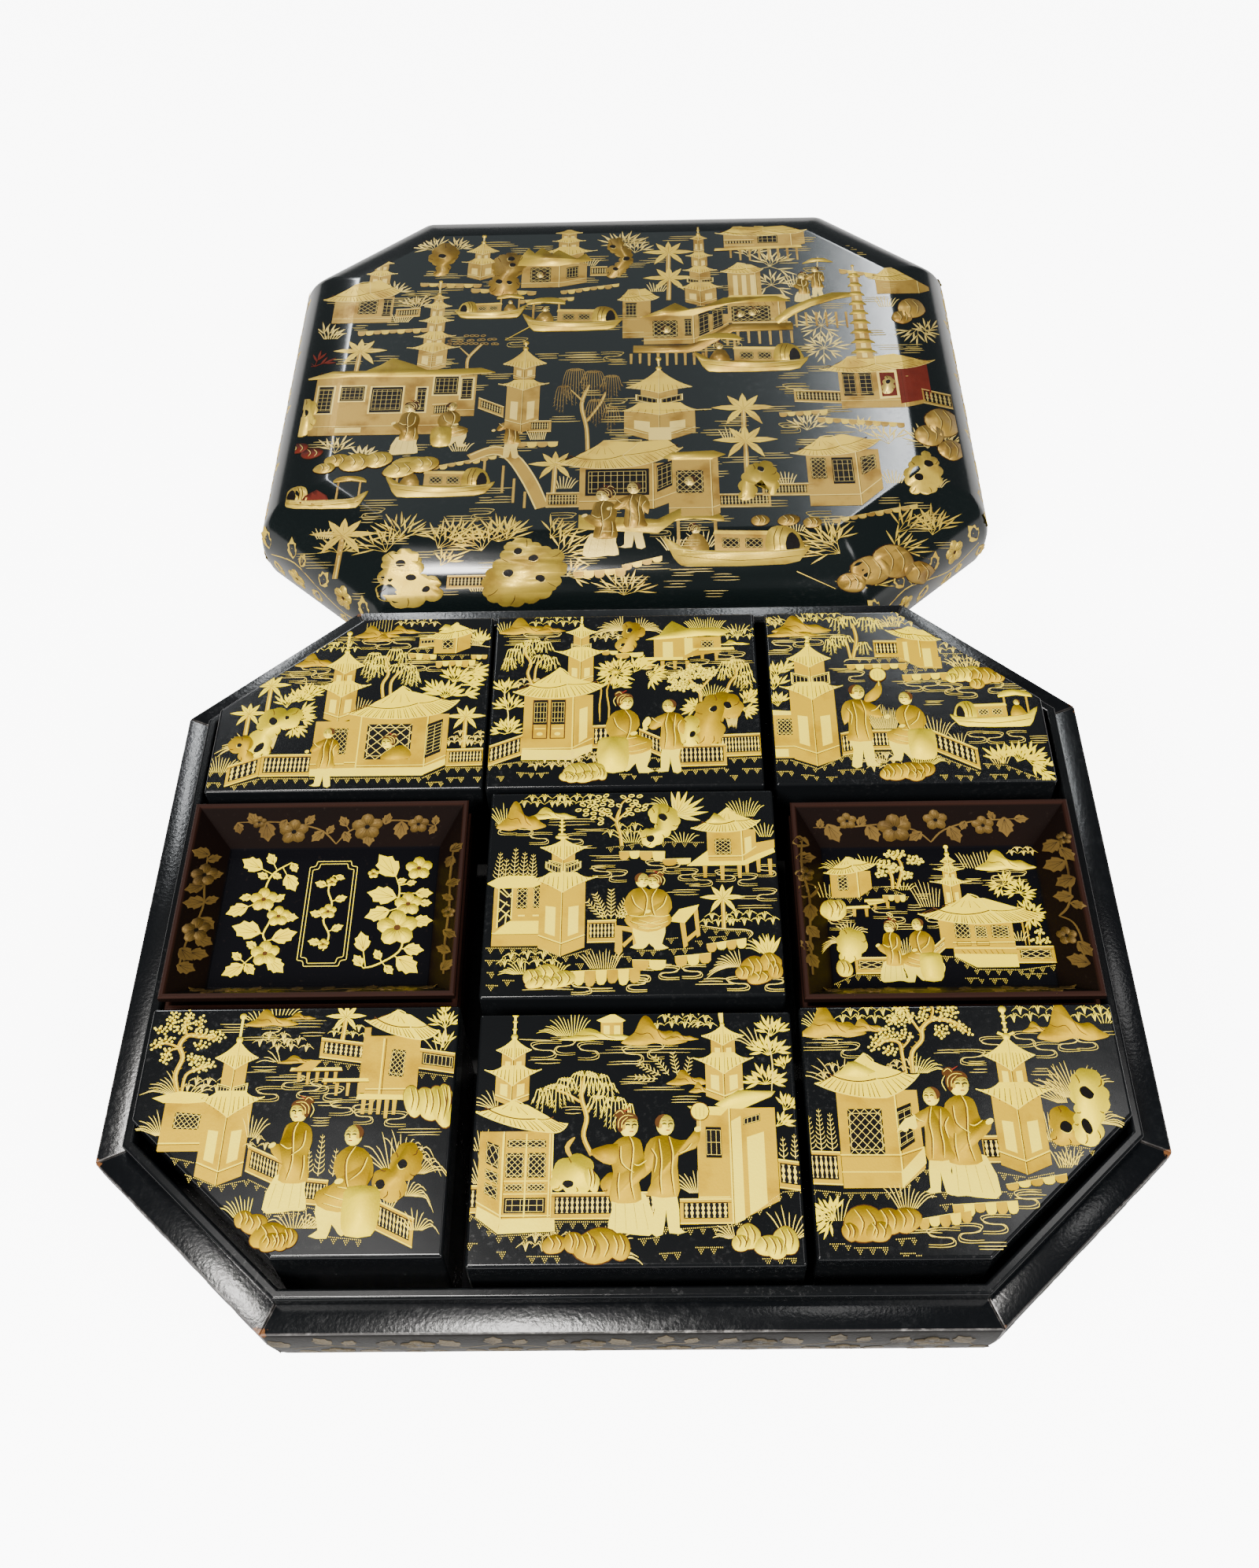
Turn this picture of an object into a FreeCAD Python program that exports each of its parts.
import FreeCAD, Part
import os
from math import hypot, sqrt

V = FreeCAD.Vector

# A lacquered games box of wood, open, with its lid lying behind it. All sizes are in millimetres.
# The table is at height zero, the front of the box faces -Y, and the lid lies on the +Y side.

# Driving dimensions of the closed box
box_width = 380.0
box_depth = 325.0
corner_along_width = 67.0
corner_along_depth = 61.0
ledge_height = 84.0
edge_softness = 0.6
cut_overrun = 5.0

# Base
inner_depth = 42.0
bottom_board_thickness = 10.0
wall_curve_radius = 125.0
ledge_width = 10.0
lip_thickness = 4.0
lip_rise = 5.0
lip_rebate = 7.0
lip_softness = 1.1

# Feet
foot_inset = 38.0
foot_belly_radius = 17.0
foot_neck_radius = 11.5
foot_sole_radius = 12.0
foot_pad_thickness = 4.0
foot_pad_radius = 14.5
foot_belly_height_share = 0.45

# Lid
lid_height = 49.0
lid_panel_thickness = 7.0
lid_panel_inset = 36.0
lid_belly = 2.3
lid_belly_height = 15.0
lid_knee_inset = 17.0
lid_knee_height = 43.6
lid_side_board_height = 28.0
lid_fit = 0.5
lid_shift_left = 4.7
lid_distance_back = 376.5

# Small boxes inside the base, in three columns and three rows
column_gap = 4.3
row_gap = 3.6
side_play = 1.65
end_play = 3.15
corner_play = 1.6
small_box_rise = 12.5
small_box_wall = 5.0
small_box_bottom = 4.0
small_lid_height = 15.0
small_lid_wall = 2.8
small_lid_top = 4.0
small_lip_rise = 5.0
small_lip_fit = 0.3
small_edge_radius = 1.2

# Dished trays, stacked in the middle row at the left and the right
trays_in_a_stack = 5
tray_height = 18.0
tray_rise = 12.0
tray_side_play = 1.4
tray_end_play = 2.5
tray_floor_thickness = 2.5
tray_floor_margin = 13.0
tray_rim_width = 1.7
tray_rim_height = 3.0
tray_seat_height = 1.5
tray_seat_gap = 0.1

# How far each box or stack has slid from its place in the grid, as shares of the gaps around it:
# (column, row) from the left and from the front: (share of the column gap, share of the row gap)
slide_shares = {
    (0, 0): (-0.28, 1.15), (1, 0): (0.45, 0.1), (2, 0): (0.18, 0.6),
    (0, 1): (-0.58, 0.8), (1, 1): (0.22, 0.85), (2, 1): (0.45, -0.1),
    (0, 2): (0.28, 0.45), (1, 2): (-0.45, 0.45), (2, 2): (-0.4, 0.45),
}
box_names = {
    (0, 0): "front_left_box", (1, 0): "front_middle_box", (2, 0): "front_right_box",
    (1, 1): "centre_box",
    (0, 2): "back_left_box", (1, 2): "back_middle_box", (2, 2): "back_right_box",
}
tray_stack_names = {(0, 1): "left_tray", (2, 1): "right_tray"}

# The sides of the octagon, counter-clockwise from the front
side_names = ["front", "front_right", "right", "back_right", "back", "back_left", "left", "front_left"]

# Worked out from the driving dimensions
half_width = box_width / 2
half_depth = box_depth / 2
lip_inset = ledge_width + lip_thickness
leftmost = min(-half_width, -lid_shift_left - half_width - lid_belly)
rightmost = max(half_width, -lid_shift_left + half_width + lid_belly)
rearmost = lid_distance_back + half_depth + lid_belly
base_centre = V(-(leftmost + rightmost) / 2, -(rearmost - half_depth) / 2, 0)
lid_centre = base_centre + V(-lid_shift_left, lid_distance_back, 0)
floor_height = ledge_height - inner_depth
underside_height = floor_height - bottom_board_thickness


# Plan outlines are lists of corners, counter-clockwise seen from above

def octagon(centre):
    """The plan of the closed box: a rectangle with its four corners canted."""
    near_x = half_width - corner_along_width
    near_y = half_depth - corner_along_depth
    plan = [(-near_x, -half_depth), (near_x, -half_depth), (half_width, -near_y), (half_width, near_y),
            (near_x, half_depth), (-near_x, half_depth), (-half_width, near_y), (-half_width, -near_y)]
    return [V(x, y, 0) + centre for x, y in plan]


def inward(a, b):
    """The unit direction into the outline from its side between corners a and b."""
    side = b - a
    return V(-side.y, side.x, 0) / side.Length


def inset_outline(corners, inset):
    """The outline with every side moved inwards by the same inset."""
    moved = []
    for i, corner in enumerate(corners):
        n1 = inward(corners[i - 1], corner)
        n2 = inward(corner, corners[(i + 1) % len(corners)])
        moved.append(corner + (n1 + n2) * (inset / (1 + n1.dot(n2))))
    return moved


def clipped_outline(corners, a, b):
    """The part of the outline that lies on the inner side of the line from a to b."""
    n = inward(a, b)
    kept = []
    for i, corner in enumerate(corners):
        before = corners[i - 1]
        depth_before = (before - a).dot(n)
        depth = (corner - a).dot(n)
        if depth_before * depth < 0:
            kept.append(before + (corner - before) * (depth_before / (depth_before - depth)))
        if depth >= 0:
            kept.append(corner)
    return kept


def rectangle(centre, size_x, size_y):
    plan = [(-size_x, -size_y), (size_x, -size_y), (size_x, size_y), (-size_x, size_y)]
    return [V(x / 2, y / 2, 0) + centre for x, y in plan]


def wire_at(corners, height):
    raised = [corner + V(0, 0, height) for corner in corners]
    return Part.makePolygon(raised + raised[:1])


def prism(corners, low, high):
    """An upright solid on a plan outline, between two heights."""
    return Part.Face(wire_at(corners, low)).extrude(V(0, 0, high - low))


def frustum(levels):
    """A solid with flat sides through outlines at several heights: pairs of outline and height."""
    rings = [[corner + V(0, 0, height) for corner in corners] for corners, height in levels]
    faces = [Part.Face(Part.makePolygon(ring + ring[:1])) for ring in (rings[0], rings[-1])]
    for lower, upper in zip(rings, rings[1:]):
        for i in range(len(lower)):
            loop = [lower[i - 1], lower[i], upper[i], upper[i - 1], lower[i - 1]]
            faces.append(Part.Face(Part.makePolygon(loop)))
    solid = Part.Solid(Part.Shell(faces))
    return solid if solid.Volume > 0 else solid.reversed()


# Boards round the octagon: a section, drawn as inset from the outer edge and height, runs along one
# side and ends in mitres. A section's points go counter-clockwise, as (inset, height, radius of the
# outward arc to the next point, or None for a straight run).

def section_face(points, place):
    edges = []
    for i, (inset, height, radius) in enumerate(points):
        next_inset, next_height = points[(i + 1) % len(points)][:2]
        start, end = place(inset, height), place(next_inset, next_height)
        if radius is None:
            edges.append(Part.LineSegment(start, end).toShape())
            continue
        run, rise = next_inset - inset, next_height - height
        chord = hypot(run, rise)
        bulge = (radius - sqrt(radius ** 2 - chord ** 2 / 4)) / chord
        middle = place((inset + next_inset) / 2 + rise * bulge, (height + next_height) / 2 - run * bulge)
        edges.append(Part.Arc(start, middle, end).toShape())
    return Part.Face(Part.Wire(edges))


def mitred_board(outline, side, points):
    """One of the eight boards round an outline, cut to the mitres at its two ends."""
    a, b = outline[side], outline[(side + 1) % len(outline)]
    along = (b - a) / (b - a).Length
    into = inward(a, b)
    deepest = max(point[0] for point in points)
    proudest = min(point[0] for point in points)
    lowest = min(point[1] for point in points)
    highest = max(point[1] for point in points)
    spare = deepest + cut_overrun

    def place(inset, height):
        return a + into * inset - along * spare + V(0, 0, height)

    board = section_face(points, place).extrude(along * ((b - a).Length + 2 * spare))
    outer = inset_outline(outline, proudest - cut_overrun)
    inner = inset_outline(outline, deepest + cut_overrun)
    after = (side + 1) % len(outline)
    mitres = prism([outer[side], outer[after], inner[after], inner[side]],
                   lowest - cut_overrun, highest + cut_overrun)
    return board.common(mitres)


def save(shape, node):
    shape.exportStep("parts/" + node + ".step")


# Base: the bottom board, the eight curved walls whose mitred tops are the ledge, and the lip strips
# that stand in a rebate inside the ledge and centre the lid

def wall_inset(drop):
    """How far the curved outer face has drawn in at a depth below the ledge."""
    return wall_curve_radius - sqrt(wall_curve_radius ** 2 - drop ** 2)


def base_wall_section():
    foot = wall_inset(inner_depth)
    return [(0, ledge_height - edge_softness, wall_curve_radius),
            (foot, floor_height, None),
            (lip_inset, floor_height, None),
            (lip_inset, ledge_height - lip_rebate, None),
            (ledge_width, ledge_height - lip_rebate, None),
            (ledge_width, ledge_height, None),
            (edge_softness, ledge_height, None)]


def lip_section():
    top = ledge_height + lip_rise
    return [(ledge_width, ledge_height - lip_rebate, None),
            (lip_inset, ledge_height - lip_rebate, None),
            (lip_inset, top - lip_softness, lip_softness),
            (lip_inset - lip_softness, top, None),
            (ledge_width + lip_softness, top, lip_softness),
            (ledge_width, top - lip_softness, None)]


def make_base():
    outline = octagon(base_centre)
    bottom = frustum([
        (inset_outline(outline, wall_inset(inner_depth + bottom_board_thickness)), underside_height),
        (inset_outline(outline, wall_inset(inner_depth)), floor_height)])
    save(bottom, "bottom_board")
    corner_lips = []
    for side, name in enumerate(side_names):
        save(mitred_board(outline, side, base_wall_section()), name + "_base_wall")
        lip = mitred_board(outline, side, lip_section())
        if side % 2:
            corner_lips.append(lip)
        else:
            save(lip, name + "_lip_strip")
    save(Part.makeCompound(corner_lips), "corner_lip_strips")


# Feet: turned of wood, one under the middle of each canted corner, glued to the bottom board

def foot(centre):
    pad_low = underside_height - foot_pad_thickness
    belly_height = pad_low * foot_belly_height_share
    below = (foot_belly_radius - foot_sole_radius, belly_height)
    above = (foot_belly_radius - foot_neck_radius, pad_low - belly_height)
    diagonal_share = sqrt(0.5)
    belly_low = V(foot_sole_radius + below[0] * diagonal_share, 0, belly_height * (1 - diagonal_share))
    belly_high = V(foot_neck_radius + above[0] * diagonal_share, 0, belly_height + above[1] * diagonal_share)
    centre_low, centre_high = V(0, 0, 0), V(0, 0, underside_height)
    sole, belly = V(foot_sole_radius, 0, 0), V(foot_belly_radius, 0, belly_height)
    neck = V(foot_neck_radius, 0, pad_low)
    pad_edge, pad_top = V(foot_pad_radius, 0, pad_low), V(foot_pad_radius, 0, underside_height)
    edges = [Part.Arc(sole, belly_low, belly).toShape(), Part.Arc(belly, belly_high, neck).toShape()]
    for start, end in ((neck, pad_edge), (pad_edge, pad_top), (pad_top, centre_high),
                       (centre_high, centre_low), (centre_low, sole)):
        edges.append(Part.LineSegment(start, end).toShape())
    turned = Part.Face(Part.Wire(edges)).revolve(V(0, 0, 0), V(0, 0, 1), 360)
    return turned.translated(centre)


def make_feet():
    inner = inset_outline(octagon(base_centre), foot_inset)
    for side, name in enumerate(side_names):
        if side % 2:
            save(foot((inner[side] + inner[(side + 1) % len(inner)]) / 2), name + "_foot")


# Lid: a flat top panel, eight rounded shoulder boards, and eight side boards with a slight belly

def lid_curve_radii():
    """Radii of the arcs below the belly, from belly to knee, and from knee to the top panel.
    The first two stand upright at the belly, and the last one runs on smoothly at the knee."""
    below = (lid_belly ** 2 + lid_belly_height ** 2) / (2 * lid_belly)
    run, rise = lid_knee_inset + lid_belly, lid_knee_height - lid_belly_height
    above = (run ** 2 + rise ** 2) / (2 * run)
    tangent = (rise / above, (above - run) / above)
    on, up = lid_panel_inset - lid_knee_inset, lid_height - lid_knee_height
    top = (on ** 2 + up ** 2) / (2 * abs(tangent[0] * up - tangent[1] * on))
    return below, above, top


def lid_joint_inset():
    """Inset of the outer face where the side boards end and the shoulder boards begin."""
    above = lid_curve_radii()[1]
    return above - lid_belly - sqrt(above ** 2 - (lid_side_board_height - lid_belly_height) ** 2)


def lid_side_section():
    below, above, top = lid_curve_radii()
    inner = ledge_width - lid_fit
    return [(inner, 0, None),
            (inner, lid_side_board_height, None),
            (lid_joint_inset(), lid_side_board_height, above),
            (-lid_belly, lid_belly_height, below),
            (0, 0, None)]


def lid_shoulder_section():
    below, above, top = lid_curve_radii()
    return [(ledge_width - lid_fit, lid_side_board_height, None),
            (lid_panel_inset, lid_height - lid_panel_thickness, None),
            (lid_panel_inset, lid_height, top),
            (lid_knee_inset, lid_knee_height, above),
            (lid_joint_inset(), lid_side_board_height, None)]


def make_lid():
    outline = octagon(lid_centre)
    panel = prism(inset_outline(outline, lid_panel_inset), lid_height - lid_panel_thickness, lid_height)
    save(panel, "lid_top_panel")
    for side, name in enumerate(side_names):
        save(mitred_board(outline, side, lid_side_section()), name + "_lid_side")
        save(mitred_board(outline, side, lid_shoulder_section()), name + "_lid_shoulder")


# Small boxes: a box with a thin inner lip, and a lift-off lid whose sides are flush with the box

cell_width = (box_width - 2 * lip_inset - 2 * side_play - 2 * column_gap) / 3
cell_depth = (box_depth - 2 * lip_inset - 2 * end_play - 2 * row_gap) / 3


def cell_centre(column, row):
    return base_centre + V((column - 1) * (cell_width + column_gap), (row - 1) * (cell_depth + row_gap), 0)


def slide(column, row):
    share_x, share_y = slide_shares[(column, row)]
    return V(share_x * column_gap, share_y * row_gap, 0)


def small_box_outline(column, row):
    """A rectangle, with one corner canted where it stands in a corner of the base."""
    outline = rectangle(cell_centre(column, row), cell_width, cell_depth)
    room = inset_outline(octagon(base_centre), lip_inset + corner_play)
    for side in range(1, len(room), 2):
        outline = clipped_outline(outline, room[side], room[(side + 1) % len(room)])
    return [corner + slide(column, row) for corner in outline]


def softened(solid, corners, top):
    """The solid with its upright outer edges, and those round its top if named, rounded."""
    chosen = []
    for edge in solid.Edges:
        middle = edge.CenterOfMass
        upright = any(hypot(middle.x - c.x, middle.y - c.y) < small_edge_radius / 100 for c in corners)
        if upright or (top is not None and abs(middle.z - top) < small_edge_radius / 100):
            chosen.append(edge)
    return solid.makeFillet(small_edge_radius, chosen)


def make_small_box(column, row, name):
    outline = small_box_outline(column, row)
    top = ledge_height + small_box_rise
    seam = top - small_lid_height
    inside = inset_outline(outline, small_box_wall)
    lip_outline = inset_outline(outline, small_lid_wall + small_lip_fit)
    case = softened(prism(outline, floor_height, seam), outline, None)
    lip = prism(lip_outline, seam - small_lip_rise, seam + small_lip_rise)
    hollow = prism(inside, floor_height + small_box_bottom, seam + small_lip_rise + cut_overrun)
    save(case.fuse(lip).cut(hollow).removeSplitter(), name)
    cover = softened(prism(outline, seam, top), outline, top)
    recess = prism(inset_outline(outline, small_lid_wall), seam - cut_overrun, top - small_lid_top)
    save(cover.cut(recess), name + "_lid")


# Trays: a flat floor with sloping sides. Each stands inside the one below it, on its sloping sides

tray_width = cell_width - 2 * tray_side_play
tray_depth = cell_depth - 2 * tray_end_play
tray_pitch = (inner_depth + tray_rise - tray_height) / (trays_in_a_stack - 1)


def tray_inner_margin(height):
    """Distance from the tray's outer edge in to its sloping inner side, at a height over its foot."""
    climb = (height - tray_floor_thickness) / (tray_height - tray_floor_thickness)
    return tray_floor_margin + (tray_rim_width - tray_floor_margin) * climb


def tray(centre, foot_height):
    outer = rectangle(centre, tray_width, tray_depth)
    foot_margin = tray_inner_margin(tray_pitch) + tray_seat_gap
    seat_margin = tray_inner_margin(tray_pitch + tray_seat_height) + tray_seat_gap
    rim_low = foot_height + tray_height - tray_rim_height
    rim_top = foot_height + tray_height
    body = frustum([
        (inset_outline(outer, foot_margin), foot_height),
        (inset_outline(outer, seat_margin), foot_height + tray_seat_height),
        (outer, rim_low),
        (outer, rim_top - edge_softness),
        (inset_outline(outer, edge_softness), rim_top)])
    above = tray_height + cut_overrun
    dish = frustum([
        (inset_outline(outer, tray_floor_margin), foot_height + tray_floor_thickness),
        (inset_outline(outer, tray_inner_margin(above)), foot_height + above)])
    return body.cut(dish)


def make_tray_stack(column, row, name):
    centre = cell_centre(column, row) + slide(column, row)
    for number in range(trays_in_a_stack):
        save(tray(centre, floor_height + number * tray_pitch), name + "_" + str(number + 1))


make_base()
make_feet()
make_lid()
for place, name in box_names.items():
    make_small_box(place[0], place[1], name)
for place, name in tray_stack_names.items():
    make_tray_stack(place[0], place[1], name)
